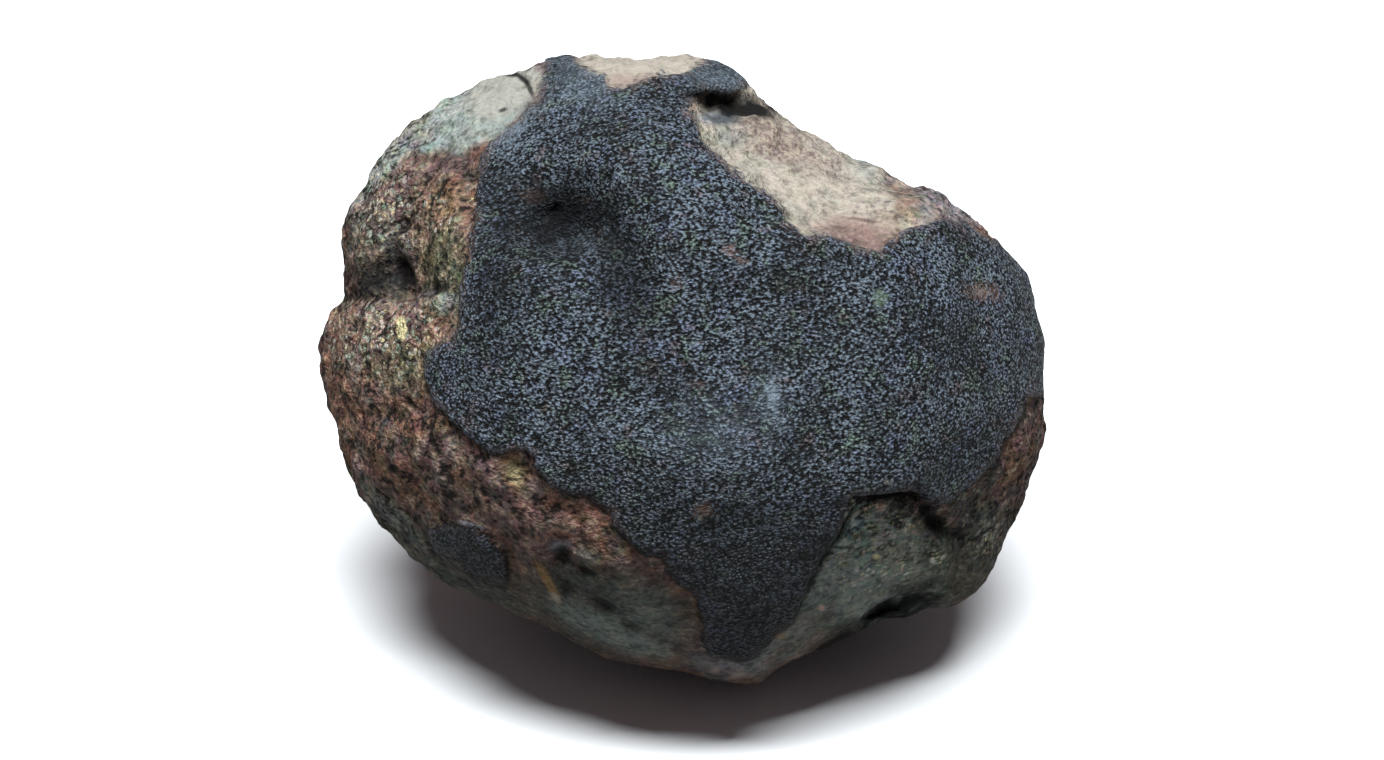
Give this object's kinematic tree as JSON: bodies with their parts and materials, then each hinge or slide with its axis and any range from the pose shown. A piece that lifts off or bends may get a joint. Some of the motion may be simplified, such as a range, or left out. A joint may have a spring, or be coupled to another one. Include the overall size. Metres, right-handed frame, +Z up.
{
  "type": "meteorite",
  "caption": "Hand-sized rounded meteorite: a rough broken stone with patches of thin dark melted crust, thumb-like hollows and a flat face to rest on.",
  "frame": {"origin": "middle of the bounding box at the height of the rest face", "axes": "+Z is up, away from the rest face. +X runs to the right and +Y to the back, with the large crusted face towards -Y and up"},
  "size_m": [0.1001, 0.079, 0.0806],
  "materials": {
    "stone": "rough, with a matt black crust over part of it"
  },
  "bodies": {
    "root": {"stone": "stone"}
  },
  "joints": []
}
